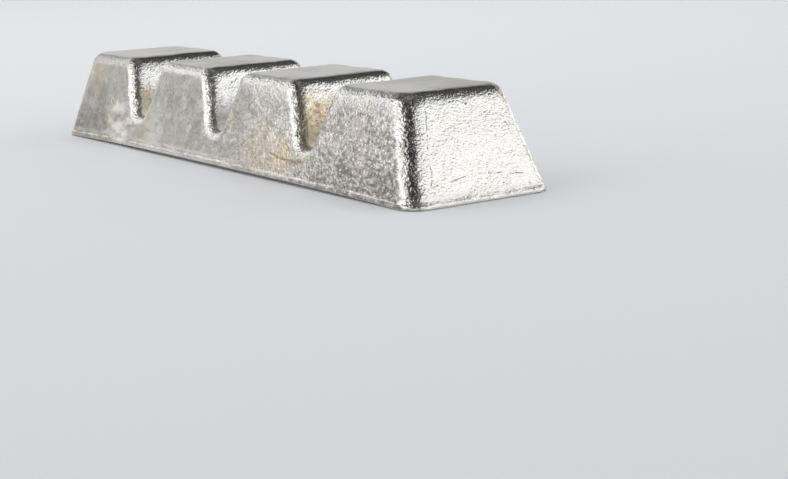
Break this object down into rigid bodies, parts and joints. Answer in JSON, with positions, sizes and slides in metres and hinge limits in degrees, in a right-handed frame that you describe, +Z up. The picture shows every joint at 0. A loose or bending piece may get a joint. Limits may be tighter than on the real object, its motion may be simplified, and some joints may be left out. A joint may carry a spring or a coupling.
{
  "type": "tin ingot",
  "caption": "Cast tin ingot: a long drafted bar lying on its broad flat face, with deep round-bottomed notches across the top where it can be broken into blocks.",
  "frame": {"origin": "centre of the broad resting face, on the floor it lies on", "axes": "+X along the ingot, +Y across it, +Z up from the resting face to the tops of the blocks"},
  "size_m": [0.32, 0.07, 0.043],
  "materials": {
    "tin": "as-cast bright tin, rippled and speckled, with light tan tarnish"
  },
  "bodies": {
    "root": {"ingot": "tin"}
  },
  "joints": []
}
